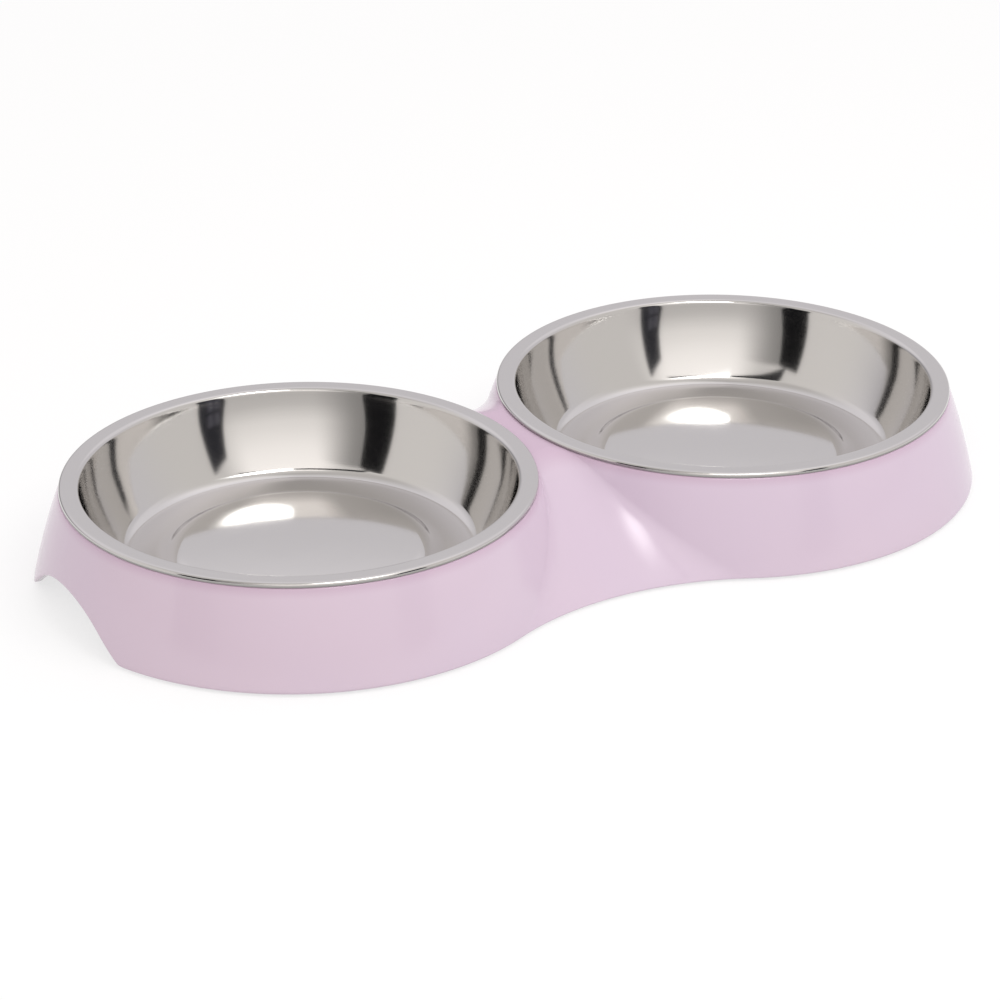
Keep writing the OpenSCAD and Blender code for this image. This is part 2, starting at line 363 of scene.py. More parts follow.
# %% Place the cards
LEFT_GAP = [(0.835, -0.535, 0), (0.632, -0.790, 0), (0.530, -0.841, 0.81), (0.738, -0.654, 0.81)]
LEFT_SHADE = [(0.960, -0.080, 0), LEFT_GAP[0], LEFT_GAP[3], (0.935, -0.170, 0.81)]
RIGHT_GAP = [(0.688, 0.495, 0), (0.395, 0.502, 0), (0.345, 0.560, 0.57), (0.545, 0.555, 0.57)]
BEAM = [(0.70, 0.70, 0.900), (0.70, -0.80, 0.80), (0.70, -0.80, 1.22), (0.70, 0.70, 1.10)]
SOFT_LAMP = [(0.45, -0.02, 0.468), (0.18, 0.45, 0.50), (0.15, 0.35, 0.779), (0.37, -0.015, 0.809)]
PANE_CORNER = Vector((0.678, 0.488, 0.005))
PANE_ACROSS = Vector((-0.29, 0.007, 0))
PANE_UP = Vector((-0.075, 0.06, 0.57))
PANE_COLUMNS = ((0.26, 0.46), (0.49, 0.69))
PANE_ROWS = ((0.02, 0.22), (0.25, 0.45))

card("left_gap", LEFT_GAP, black)
card("left_shade", LEFT_SHADE, shade)
card("right_gap", RIGHT_GAP, slate)
card("beam", BEAM, grey)
card("soft_lamp", SOFT_LAMP, glow)
for inner, outer in PANE_COLUMNS:
    for low, high in PANE_ROWS:
        spots = [(inner, low), (outer, low), (outer, high), (inner, high)]
        card("window_pane", [PANE_CORNER + PANE_ACROSS * a + PANE_UP * b for a, b in spots], panes)
print("panes in the right gap:", len(PANE_COLUMNS) * len(PANE_ROWS))

# %% The soft lamp's own light
LAMP = ground_point(0.26, 0.28, 0.63)
LAMP_WIDTH = 0.5
LAMP_DEPTH = 0.35
LAMP_WATTS = 1.3

lamp_data = bpy.data.lights.new("soft_lamp_light", "AREA")
lamp_data.shape = "RECTANGLE"
lamp_data.size = LAMP_WIDTH
lamp_data.size_y = LAMP_DEPTH
lamp_data.energy = LAMP_WATTS
lamp = bpy.data.objects.new("soft_lamp_light", lamp_data)
aim = (LAMP - rim_centre).to_track_quat("Z", "Y").to_matrix().to_4x4()
lamp.matrix_world = Matrix.Translation(LAMP) @ aim
lamp.visible_camera = False
lamp.visible_glossy = False
bpy.context.scene.collection.objects.link(lamp)
print("lamp", [round(v, 3) for v in LAMP])

# %% [markdown]
# ## The floor
# The floor is plain matt white. Its own colour is lit by the studio, and a glow that only the camera and
# reflections see is mixed in, which lifts the lit part to pure white. The shaded part stays below white,
# so a soft shadow under the skirt still ties the stand to the floor.

# %% A pale floor
FLOOR_HALF = 3.0
FLOOR_COLOUR = 0.80
FLOOR_GLOW = 1.14
GLOW_SHARE = 0.62

floor_finish, start = new_material("pale_floor")
path_camera = start.node("ShaderNodeLightPath", out="Is Camera Ray")
path_glossy = start.node("ShaderNodeLightPath", out="Is Glossy Ray")
path_through = start.node("ShaderNodeLightPath", out="Is Transmission Ray")
seen = path_camera.maths("MAXIMUM", path_camera, path_glossy.maths("MAXIMUM", path_glossy, path_through))
matt = start.node("ShaderNodeBsdfDiffuse", sockets={"Color": (FLOOR_COLOUR, FLOOR_COLOUR, FLOOR_COLOUR, 1)})
glowing = start.node("ShaderNodeEmission", sockets={"Color": WHITE, "Strength": FLOOR_GLOW})
both = start.node("ShaderNodeMixShader", sockets={0: seen * GLOW_SHARE, 1: matt, 2: glowing})
start.node("ShaderNodeOutputMaterial", sockets={"Surface": both})
floor_mesh = bpy.data.meshes.new("floor")
floor_corners = [(-FLOOR_HALF, -FLOOR_HALF, 0), (FLOOR_HALF, -FLOOR_HALF, 0)]
floor_corners += [(FLOOR_HALF, FLOOR_HALF, 0), (-FLOOR_HALF, FLOOR_HALF, 0)]
floor_mesh.from_pydata(floor_corners, [], [(0, 1, 2, 3)])
floor_mesh.materials.append(floor_finish)
floor = bpy.data.objects.new("floor", floor_mesh)
bpy.context.scene.collection.objects.link(floor)
floor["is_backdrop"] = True
print(f"floor {2 * FLOOR_HALF:.0f} m square")

# %% [markdown]
# ## The steel
# A pressed bowl is polished on a spindle, so its fine marks run round it in rings. They are far too small
# to see one by one. They smear what the wall reflects up and down, and leave it crisp from side to side.
# A noise that depends on the distance round the section, and hardly on the angle, gives such rings. It
# drives a very low bump and a slight change of roughness. Thin sheet is never quite true, so a wide, very
# shallow noise bends the longer reflections. The lower part of the lip is rougher, as a sheared edge is,
# and much darker, which is painted shade for the dark line under the rim. The pattern is centred on each
# bowl's own axis, so each bowl has its own material.

# %% Polished steel
STEEL_LIGHT = (0.700, 0.684, 0.670, 1)
STEEL_DARK = (0.668, 0.653, 0.640, 1)
RING_STEP = 0.45 * MM
RING_DEPTH = 0.0022 * MM
RIPPLE_STEP = 6 * MM
RIPPLE_DEPTH = 0.004 * MM
RING_TURN = 0.9
RING_TONE = 0.7
DENT_DEPTH = 0.03 * MM
DENT_SCALE = 80
CLOUD_SCALE = 22
STEEL_ROUGH = 0.055
RING_ROUGH = 0.05
CLOUD_ROUGH = 0.02
# Painted shade: the lip's lower edge is coloured dark for the shadow line under the rim.
LIP_SHADE_COLOUR = (0.34, 0.33, 0.32, 1)
EDGE_ROUGH = 0.2
EDGE_DROP = (-0.55 * MM, -1.0 * MM)
EDGE_REACH = (RIM_R - 1.2 * MM, RIM_R - 0.8 * MM)
AXIS_GUARD = 0.1 * MM


def steel_finish(name, centre):
    """Mirror-polished steel with fine rings round the axis of one bowl."""
    material, start = new_material(name)
    point = start.node("ShaderNodeTexCoord", out="Object")
    local = start.node("ShaderNodeMapping", sockets={"Vector": point, "Location": -centre})
    x = start.node("ShaderNodeSeparateXYZ", sockets={0: local}, out=0)
    y = start.node("ShaderNodeSeparateXYZ", sockets={0: local}, out=1)
    z = start.node("ShaderNodeSeparateXYZ", sockets={0: local}, out=2)
    radius = (x * x + y * y).maths("SQRT", x * x + y * y) + AXIS_GUARD
    along = radius + z
    ring = start.node("ShaderNodeCombineXYZ", sockets={0: x / radius * RING_TURN, 1: y / radius * RING_TURN})
    rings = start.node(
        "ShaderNodeTexNoise",
        {"noise_dimensions": "4D"},
        {"Vector": ring, "W": along / RING_STEP, "Scale": 1, "Detail": 3, "Roughness": 0.6},
    )
    ripples = start.node(
        "ShaderNodeTexNoise",
        {"noise_dimensions": "4D"},
        {"Vector": ring, "W": along / RIPPLE_STEP, "Scale": 1, "Detail": 1},
    )
    fine = start.node("ShaderNodeBump", sockets={"Strength": 1, "Distance": RING_DEPTH, "Height": rings})
    rippled = start.node(
        "ShaderNodeBump",
        sockets={"Strength": 1, "Distance": RIPPLE_DEPTH, "Height": ripples, "Normal": fine},
    )
    dents = start.node("ShaderNodeTexNoise", sockets={"Vector": point, "Scale": DENT_SCALE, "Detail": 0})
    dented = start.node(
        "ShaderNodeBump",
        sockets={"Strength": 1, "Distance": DENT_DEPTH, "Height": dents, "Normal": rippled},
    )
    clouds = start.node("ShaderNodeTexNoise", sockets={"Vector": point, "Scale": CLOUD_SCALE, "Detail": 2})
    tone = rings * RING_TONE + clouds * (1 - RING_TONE)
    polished = start.node(
        "ShaderNodeMix",
        {"data_type": "RGBA"},
        {"Factor_Float": tone, "A_Color": STEEL_DARK, "B_Color": STEEL_LIGHT},
        out="Result_Color",
    )
    # The lower lip gets a rougher finish, as a sheared edge has, and a painted shade colour for the dark line
    # under the rim.
    dull_edge_and_shade = smooth_step(z, *EDGE_DROP) * smooth_step(radius, *EDGE_REACH)
    colour = start.node(
        "ShaderNodeMix",
        {"data_type": "RGBA"},
        {"Factor_Float": dull_edge_and_shade, "A_Color": polished, "B_Color": LIP_SHADE_COLOUR},
        out="Result_Color",
    )
    rough = STEEL_ROUGH + rings * RING_ROUGH + clouds * CLOUD_ROUGH + dull_edge_and_shade * EDGE_ROUGH
    metal = start.node(
        "ShaderNodeBsdfPrincipled",
        sockets={"Base Color": colour, "Metallic": 1, "Roughness": rough, "Normal": dented},
    )
    start.node("ShaderNodeOutputMaterial", sockets={"Surface": metal})
    return material


# %% [markdown]
# ## The section of a bowl
# One line describes the whole bowl: it starts at the lip's cut edge, runs over the rim, bends down into
# the wall, turns into the floor, and climbs a soft step to the crowned middle. Each run of that line is
# either straight or a curve whose slope changes steadily from one angle to the next, which is how sheet
# steel bends over a press tool. The underside is the same line moved down by the thickness of the steel.

# %% Runs of the bowl's section
STEEL_T = 0.6 * MM
FLANGE_W = 5 * MM
LIP_BEND_R = 0.9 * MM
LIP_DROP = RIM_Z - DECK_Z
MOUTH_BEND_R = 1.4 * MM
WALL_SLOPES = (77, 67, 56)
WALL_BAND = 9.5 * MM
BOTTOM_BEND_R = 5.5 * MM
FLOOR_RING = 7.5 * MM
STEP_BEND_R = 8 * MM
STEP_SLOPE = 36
CROWN_SLOPE = 3
CUT_EDGE_STEPS = 6
CUT_EDGE_ROUND = 0.6
LIP_STEPS = (2, 10, 8)
DISH_STEPS = (12, 12, 14, 16)
FLOOR_STEPS = (4, 10, 10, 18)
BOWL_DEPTH = bowl_high.z - bowl_low.z - STEEL_T


def arc(radius, angle):
    """Length of a bend."""
    return radius * math.radians(angle)


def travel(length, start_slope, end_slope):
    """Inward travel and drop of a run whose slope in degrees changes steadily."""
    a, b = math.radians(start_slope), math.radians(end_slope)
    if a == b:
        return length * math.cos(a), length * math.sin(a)
    return length * (math.sin(b) - math.sin(a)) / (b - a), length * (math.cos(a) - math.cos(b)) / (b - a)


def bowl_runs():
    """Length, first slope and last slope of each run and its number of steps, from the lip to the middle."""
    top, middle, low = WALL_SLOPES
    turned_down = (LIP_DROP - LIP_BEND_R, -90, -90)
    lip = [turned_down, (arc(LIP_BEND_R, 90), -90, 0), (FLANGE_W - LIP_BEND_R, 0, 0)]
    mouth = (arc(MOUTH_BEND_R, top), 0, top)
    band = (WALL_BAND, top, middle)
    bottom = (arc(BOTTOM_BEND_R, low), low, 0)
    fixed_drop = sum(travel(*run)[1] for run in (mouth, band, bottom))
    wall = ((BOWL_DEPTH - fixed_drop) / travel(1, middle, low)[1], middle, low)
    dish = [mouth, band, wall, bottom]
    ring_r = RIM_R - FLANGE_W - sum(travel(*run)[0] for run in dish)
    step_up = (arc(STEP_BEND_R, STEP_SLOPE), 0, -STEP_SLOPE)
    step_top = (arc(STEP_BEND_R, STEP_SLOPE - CROWN_SLOPE), -STEP_SLOPE, -CROWN_SLOPE)
    crown_r = ring_r - FLOOR_RING - travel(*step_up)[0] - travel(*step_top)[0]
    crown = (arc(crown_r / math.sin(math.radians(CROWN_SLOPE)), CROWN_SLOPE), -CROWN_SLOPE, 0)
    runs = lip + dish + [(FLOOR_RING, 0, 0), step_up, step_top, crown]
    return list(zip(runs, LIP_STEPS + DISH_STEPS + FLOOR_STEPS))


print(f"the line over a bowl is {sum(run[0] for run, steps in bowl_runs()) / MM:.1f} mm long")

# %% Points of the bowl's section
def bowl_section():
    """Points (radius, height) round the section: over the top, round the lip's edge and back underneath."""
    top, under = [], []
    x, z = RIM_R, -LIP_DROP
    for number, ((length, first, last), steps) in enumerate(bowl_runs()):
        for k in range(0 if number == 0 else 1, steps + 1):
            share = k / steps
            slope = first + (last - first) * share
            inward, down = travel(length * share, first, slope)
            a = math.radians(slope)
            top.append((x - inward, z - down))
            under.append((x - inward + STEEL_T * math.sin(a), z - down - STEEL_T * math.cos(a)))
        inward, down = travel(length, first, last)
        x, z = x - inward, z - down
    top[-1] = (0, top[-1][1])
    under[-1] = (0, under[-1][1])
    half = STEEL_T / 2
    rise = half * CUT_EDGE_ROUND
    edge = []
    for k in range(1, CUT_EDGE_STEPS):
        a = math.pi * k / CUT_EDGE_STEPS
        edge.append((RIM_R - half + half * math.cos(a), -LIP_DROP + rise * (1 - math.sin(a))))
    top[0] = (RIM_R, -LIP_DROP + rise)
    under[0] = (RIM_R - STEEL_T, -LIP_DROP + rise)
    return list(reversed(top)) + edge + under


section = bowl_section()
print(len(section), "points in the bowl's section")

# %% [markdown]
# ## Turning a section into a bowl
# Geometry Nodes can do what a lathe or a spinning press does. The tree below takes any section as a row
# of points, lays out a grid with one row for each of those points and one column more than there are
# steps round the axis, and moves every grid point to its section point, turned by its column's angle.
# The last column lands on the first, and the points on the axis land on each other, so merging by
# distance closes the seam and both poles. Spin in mesh code would do as well, but the tree can be used
# again for the feet.

# %% A tree that turns a section round an axis
def new_tree(name, inputs):
    """A Geometry Nodes tree with a geometry input and output and the given named inputs."""
    tree = bpy.data.node_groups.new(name, "GeometryNodeTree")
    tree.interface.new_socket("Geometry", in_out="INPUT", socket_type="NodeSocketGeometry")
    for label, kind in inputs:
        tree.interface.new_socket(label, in_out="INPUT", socket_type=kind)
    tree.interface.new_socket("Geometry", in_out="OUTPUT", socket_type="NodeSocketGeometry")
    start = Socket(tree)
    given = tree.nodes.new("NodeGroupInput")
    return tree, start, {s.name: Socket(tree, s) for s in given.outputs if s.name}


def turning_tree():
    """Turns a row of points in the XZ plane round the Z axis through Centre."""
    inputs = [("Steps", "NodeSocketInt"), ("Centre", "NodeSocketVector"), ("Merge", "NodeSocketFloat")]
    tree, start, given = new_tree("turn_section", inputs)
    count = start.node("GeometryNodeAttributeDomainSize", {"component": "MESH"}, {0: given["Geometry"]})
    columns = given["Steps"] + 1
    grid = start.node("GeometryNodeMeshGrid", sockets={"Vertices X": count, "Vertices Y": columns})
    index = start.node("GeometryNodeInputIndex")
    row = index.maths("FLOOR", (index + 0.5) / columns)
    column = index - row * columns
    spot = start.node("GeometryNodeInputPosition")
    on_section = start.node(
        "GeometryNodeSampleIndex",
        {"data_type": "FLOAT_VECTOR"},
        {"Geometry": given["Geometry"], "Value": spot, "Index": row},
    )
    turned = start.node(
        "ShaderNodeVectorRotate",
        {"rotation_type": "Z_AXIS"},
        {"Vector": on_section, "Angle": column * (2 * math.pi) / given["Steps"]},
    )
    placed = start.node("ShaderNodeVectorMath", {"operation": "ADD"}, {0: turned, 1: given["Centre"]})
    shaped = start.node("GeometryNodeSetPosition", sockets={"Geometry": grid, "Position": placed})
    merging = {"Geometry": shaped, "Distance": given["Merge"]}
    closed = start.node("GeometryNodeMergeByDistance", sockets=merging)
    smooth = start.node("GeometryNodeSetShadeSmooth", sockets={"Geometry": closed, "Shade Smooth": True})
    start.node("NodeGroupOutput", sockets={0: smooth})
    return tree


TURN = turning_tree()
TURN_MERGE = 0.002 * MM
print(TURN.name, "has", len(TURN.nodes), "nodes")

# %% A tree that makes a bowl
def bowl_tree():
    """One turned bowl with its material."""
    inputs = [("Steps", "NodeSocketInt"), ("Centre", "NodeSocketVector"), ("Finish", "NodeSocketMaterial")]
    tree, start, given = new_tree("turned_bowl", inputs)
    sockets = {"Geometry": given["Geometry"], "Steps": given["Steps"], "Centre": given["Centre"]}
    turned = start.node("GeometryNodeGroup", {"node_tree": TURN}, {**sockets, "Merge": TURN_MERGE})
    real = start.node("GeometryNodeRealizeInstances", sockets={0: turned})
    done = start.node("GeometryNodeSetMaterial", sockets={"Geometry": real, "Material": given["Finish"]})
    start.node("NodeGroupOutput", sockets={0: done})
    return tree


# %% Helpers that run a tree and look at its result
def points_object(name, points, joined=True):
    """A mesh of points, joined in a row or loose."""
    mesh = bpy.data.meshes.new(name)
    edges = [(i, i + 1) for i in range(len(points) - 1)] if joined else []
    mesh.from_pydata(points, edges, [])
    made = bpy.data.objects.new(name, mesh)
    bpy.context.scene.collection.objects.link(made)
    return made


def bake_tree(source, tree, values, name):
    """Runs a tree on an object and returns its result as a plain mesh object."""
    modifier = source.modifiers.new(tree.name, "NODES")
    modifier.node_group = tree
    for socket in tree.interface.items_tree:
        if socket.in_out == "INPUT" and socket.name in values:
            modifier[socket.identifier] = values[socket.name]
    bpy.context.view_layer.update()
    graph = bpy.context.evaluated_depsgraph_get()
    mesh = bpy.data.meshes.new_from_object(source.evaluated_get(graph), depsgraph=graph)
    mesh.name = name
    made = bpy.data.objects.new(name, mesh)
    bpy.context.scene.collection.objects.link(made)
    source.modifiers.remove(modifier)
    return made


def signed_volume(mesh):
    """Volume inside a closed mesh. It is negative if the faces point inwards."""
    shape = bmesh.new()
    shape.from_mesh(mesh)
    volume = shape.calc_volume(signed=True)
    shape.free()
    return volume


def face_outwards(made):
    """Turns a closed mesh inside out if its faces point inwards, and prints what it holds."""
    if signed_volume(made.data) < 0:
        made.data.flip_normals()
    triangles = sum(len(p.vertices) - 2 for p in made.data.polygons)
    print(f"{made.name}: {triangles} triangles, {signed_volume(made.data) / MM ** 3:.0f} mm3")


# %% The two bowls
BOWL_STEPS = 288

section_points = points_object("bowl_section", [(x, 0, z) for x, z in section])
BOWL_TREE = bowl_tree()
for side, x in (("left", -BOWL_X), ("right", BOWL_X)):
    centre = Vector((x, 0, RIM_Z))
    finish = steel_finish(f"{side}_polished_steel", centre)
    values = {"Steps": BOWL_STEPS, "Centre": centre, "Finish": finish}
    bowl = bake_tree(section_points, BOWL_TREE, values, f"{side}_steel_bowl")
    face_outwards(bowl)
    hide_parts(f"{side}_bowl")
    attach(bowl, f"{side}_bowl")
bpy.data.objects.remove(section_points)

# %% [markdown]
# ## The melamine
# Melamine is pressed hot in a polished mould, so it comes out smooth and glossy, with the slight waviness
# of a thick moulding. Its colour runs right through, a pale lilac pink. A deeper pink is painted along the
# top of the skirt and over the deck, as painted shade under the steel rims. Broad soft noise shifts the
# colour a little, a finer one varies the gloss, and a low bump gives reflections their slight unevenness.

# %% Glossy lilac melamine
PINK = (0.712, 0.583, 0.688, 1)
LILAC = (0.686, 0.569, 0.690, 1)
# Painted shade: a deeper pink near the deck stands in for the shadow under the steel rims.
PAINTED_SHADE_PINK = (0.600, 0.430, 0.560, 1)
PAINTED_SHADE_SHARE = 0.75
PAINTED_SHADE_BAND = (DECK_Z - 3.5 * MM, DECK_Z + 0.5 * MM)
PATCH_SCALE = 9
PATCH_EDGES = (0.35, 0.65)
PATCH_TONE = 0.9
SPECK_SCALE = 900
SPECK_DEPTH = 0.002 * MM
SPECK_STRENGTH = 0.6
SWELL_SCALE = 35
SWELL_DEPTH = 0.03 * MM
MELAMINE_ROUGH = 0.10
PATCH_ROUGH = 0.06
MELAMINE_IOR = 1.45


def melamine_finish():
    """Pale lilac pink moulding with a soft gloss."""
    material, start = new_material("lilac_melamine")
    point = start.node("ShaderNodeTexCoord", out="Object")
    clouds = start.node("ShaderNodeTexNoise", sockets={"Vector": point, "Scale": PATCH_SCALE, "Detail": 3})
    specks = start.node("ShaderNodeTexNoise", sockets={"Vector": point, "Scale": SPECK_SCALE, "Detail": 2})
    drift = smooth_step(clouds, *PATCH_EDGES) * PATCH_TONE + specks * (1 - PATCH_TONE)
    colour = start.node(
        "ShaderNodeMix",
        {"data_type": "RGBA"},
        {"Factor_Float": drift, "A_Color": PINK, "B_Color": LILAC},
        out="Result_Color",
    )
    height = start.node("ShaderNodeSeparateXYZ", sockets={0: point}, out=2)
    # Painted shade: the colour turns deeper pink towards the deck, for the shadow under the rims.
    edge = smooth_step(height, *PAINTED_SHADE_BAND)
    colour = start.node(
        "ShaderNodeMix",
        {"data_type": "RGBA"},
        {"Factor_Float": edge * PAINTED_SHADE_SHARE, "A_Color": colour, "B_Color": PAINTED_SHADE_PINK},
        out="Result_Color",
    )
    swell = start.node("ShaderNodeTexNoise", sockets={"Vector": point, "Scale": SWELL_SCALE, "Detail": 1})
    wavy = start.node("ShaderNodeBump", sockets={"Strength": 1, "Distance": SWELL_DEPTH, "Height": swell})
    skin = start.node(
        "ShaderNodeBump",
        sockets={"Strength": SPECK_STRENGTH, "Distance": SPECK_DEPTH, "Height": specks, "Normal": wavy},
    )
    shell = start.node(
        "ShaderNodeBsdfPrincipled",
        sockets={
            "Base Color": colour,
            "Roughness": MELAMINE_ROUGH + clouds * PATCH_ROUGH,
            "IOR": MELAMINE_IOR,
            "Normal": skin,
        },
    )
    start.node("ShaderNodeOutputMaterial", sockets={"Surface": shell})
    return material


melamine = melamine_finish()
print(melamine.name, "has", len(melamine.node_tree.nodes), "nodes")

# %% [markdown]
# ## The shape of the stand
# Seen from above, each level of the stand is two circles joined by a hollow arc on either side. Going
# down from the deck, the circles widen a little, while the waist falls away fast at first and then less
# and less. That one rule makes the sharp little valley under the bridge and the wide sweep at the foot.
# The rule is used for every point of the skin, so the surface is smooth however closely it is sampled.

# %% Plan of one level
SHELL_H = DECK_Z - FOOT_Z
FLARE = 9.2 * MM
BULGE = 0.6 * MM
WAIST_DIP = 17.8 * MM
BRIDGE_W = 16.5 * MM
WAIST_FALL = 0.68
SKIRT_T = 3 * MM
DECK_T = 3 * MM
HOLLOW_RIM = 0.5 * MM
WAIST_FOOT_W = RIM_R + FLARE - WAIST_DIP
END_COLUMNS = 88
SIDE_COLUMNS = 56
WAIST_COLUMNS = 30
N_QUARTER = END_COLUMNS + SIDE_COLUMNS + WAIST_COLUMNS + 1


def tub_radius(share):
    """Radius of a tub at a share of the way down. The bulge is a parabola that is fullest half way."""
    return RIM_R + FLARE * share + BULGE * 4 * share * (1 - share)


def waist_half(share):
    """Half width of the waist at a share of the way down."""
    return BRIDGE_W + (WAIST_FOOT_W - BRIDGE_W) * np.power(np.maximum(share, 0), WAIST_FALL)


def quarter_plan(share, inset):
    """x and y of a quarter of one level, from its +X end to the waist. Each point may have its own share."""
    r = tub_radius(share) - inset
    w = waist_half(share) - inset
    hollow = (w * w + BOWL_X ** 2 - r * r) / (2 * (r - w))
    blend = math.pi - np.arctan2(w + hollow, BOWL_X)
    k = np.arange(N_QUARTER)
    end = math.pi / 2 * np.minimum(k / END_COLUMNS, 1)
    side = np.clip((k - END_COLUMNS) / SIDE_COLUMNS, 0, 1)
    waist = np.clip((k - END_COLUMNS - SIDE_COLUMNS) / WAIST_COLUMNS, 0, 1)
    angle = end + (blend - math.pi / 2) * side
    x = BOWL_X + r * np.cos(angle)
    y = r * np.sin(angle)
    hollow_angle = blend - math.pi - (blend - math.pi / 2) * waist
    in_waist = waist > 0
    x = np.where(in_waist, hollow * np.cos(hollow_angle), x)
    y = np.where(in_waist, w + hollow + hollow * np.sin(hollow_angle), y)
    return x, y


def all_round(quarter):
    """The whole outline, counter-clockwise, from its first quarter: rows of x, y and z."""
    first = quarter[:-1]
    last = quarter[:0:-1]
    flip_x, flip_y = np.array([-1, 1, 1]), np.array([1, -1, 1])
    return np.concatenate([first, last * flip_x, first * flip_x * flip_y, last * flip_y])


print(f"the foot is {2 * WAIST_FOOT_W / MM:.1f} mm wide at the waist")

# %% [markdown]
# ## Finger notches
# An arch is cut through each end of the skirt, so that fingers can lift the stand. It has straight sloping
# sides under a round crown. The photograph shows only the left one, and the right one mirrors it. The skin
# isn't cut afterwards: each of its columns simply ends at the arch, at the height where the column meets
# it, so the grid flows round the notch with no stray cut edges.

# %% Where each column of the skin ends
NOTCH_HALF_W = 32.2 * MM
NOTCH_H = 13.4 * MM
NOTCH_SLOPE = math.radians(34)
NOTCH_CORNER = 0.35 * MM
notch_sine = math.sin(NOTCH_SLOPE)
notch_cosine = math.cos(NOTCH_SLOPE)
NOTCH_ARC_R = (NOTCH_HALF_W * notch_sine - NOTCH_H * notch_cosine) / (1 - notch_cosine)
SETTLING_ROUNDS = 30


def notch_lift(y):
    """Height of the skirt's lower edge above its foot at a distance y from the long axis."""
    y = np.abs(y)
    crown = NOTCH_H - NOTCH_ARC_R + np.sqrt(np.maximum(NOTCH_ARC_R ** 2 - y * y, 0))
    side = (NOTCH_HALF_W - y) * math.tan(NOTCH_SLOPE)
    arch = np.where(y < NOTCH_ARC_R * notch_sine, crown, side)
    return (arch + np.sqrt(arch * arch + NOTCH_CORNER ** 2)) / 2


def lowest_share(inset, height):
    """Share of the height at which each column of a skin meets the notch or the foot."""
    share = np.ones(N_QUARTER)
    at_end = np.arange(N_QUARTER) <= END_COLUMNS
    for _ in range(SETTLING_ROUNDS):
        y = quarter_plan(share, inset)[1]
        share = np.where(at_end, 1 - notch_lift(y) / height, 1)
    return share


print(f"the notch's crown has a radius of {NOTCH_ARC_R / MM:.1f} mm")

# %% [markdown]
# ## The skin of the stand
# The section of the skirt is followed once round: from the deck over a small rounded corner, down the
# outside, round the lower edge, across it, and up the inside to the underside of the deck. Each step is a
# ring of points, and neighbouring rings are joined by four-sided faces.

# %% Rings of the skirt, from the deck over the outside to the inside
TOP_EDGE_R = 0.6 * MM
FOOT_EDGE_R = 1.05 * MM
OUTER_ROWS = 46
OUTER_CROWDING = 1.5
INNER_ROWS = 18
INNER_CROWDING = 1.3
CORNER_STEPS = 6
SLOPE_STEP = 0.004
HOLLOW_H = SHELL_H - DECK_T - HOLLOW_RIM


def outer_row(share, inset=0):
    """A quarter ring on the outer skin."""
    share = np.broadcast_to(share, N_QUARTER)
    x, y = quarter_plan(share, inset)
    return np.stack([x, y, DECK_Z - SHELL_H * share], 1)


def inner_row(share):
    """A quarter ring on the inner skin."""
    share = np.broadcast_to(share, N_QUARTER)
    x, y = quarter_plan(share, SKIRT_T)
    return np.stack([x, y, FOOT_Z + HOLLOW_H * (1 - share)], 1)


def direction_down(row_at, share):
    """Unit vectors down a skin at its lower edge."""
    run = row_at(share) - row_at(share - SLOPE_STEP)
    return run / np.linalg.norm(run, axis=1)[:, None]


def skirt_rings():
    """Quarter rings round the section of the skirt."""
    rings = []
    for k in range(CORNER_STEPS + 1):
        a = math.pi / 2 * k / CORNER_STEPS
        rings.append(outer_row(TOP_EDGE_R * (1 - math.cos(a)) / SHELL_H, TOP_EDGE_R * (1 - math.sin(a))))
    low = lowest_share(0, SHELL_H)
    down = direction_down(outer_row, low)
    top_share = TOP_EDGE_R / SHELL_H
    end_share = low + FOOT_EDGE_R * down[:, 2] / SHELL_H
    for k in range(1, OUTER_ROWS + 1):
        rings.append(outer_row(top_share + (end_share - top_share) * (k / OUTER_ROWS) ** OUTER_CROWDING))
    inner_low = lowest_share(SKIRT_T, HOLLOW_H)
    inner_down = direction_down(inner_row, inner_low)
    outer_edge, inner_edge = outer_row(low), inner_row(inner_low)
    across = inner_edge - outer_edge
    across = across / np.linalg.norm(across, axis=1)[:, None]
    for k in range(1, CORNER_STEPS + 1):
        a = math.pi / 2 * k / CORNER_STEPS
        rings.append(outer_edge + FOOT_EDGE_R * (across * (1 - math.cos(a)) - down * (1 - math.sin(a))))
    for k in range(CORNER_STEPS, -1, -1):
        a = math.pi / 2 * k / CORNER_STEPS
        rings.append(inner_edge - FOOT_EDGE_R * (across * (1 - math.cos(a)) + inner_down * (1 - math.sin(a))))
    inner_end = inner_low + FOOT_EDGE_R * inner_down[:, 2] / HOLLOW_H
    for k in range(INNER_ROWS - 1, -1, -1):
        rings.append(inner_row(inner_end * (k / INNER_ROWS) ** INNER_CROWDING))
    return rings


rings = [all_round(ring) for ring in skirt_rings()]
print(len(rings), "rings of", len(rings[0]), "points")

# %% [markdown]
# ## The deck
# The flat top carries the rims. It has a round seat hole under each bowl, with a small rounded edge. The
# deck's outline and its holes are known rings, so the flat faces between them can simply be filled in.

# %% Rings of the seat holes
SEAT_CLEAR = 0.8 * MM
SEAT_R = RIM_R - FLANGE_W + SEAT_CLEAR
SEAT_EDGE_R = 0.5 * MM
SEAT_STEPS = 180
SEAT_EDGE_STEPS = 5
FLAT_MARGIN = 1.2 * MM


def circle(x, radius, z):
    turn = 2 * math.pi * np.arange(SEAT_STEPS) / SEAT_STEPS
    return np.stack([x + radius * np.cos(turn), radius * np.sin(turn), np.full(SEAT_STEPS, z)], 1)


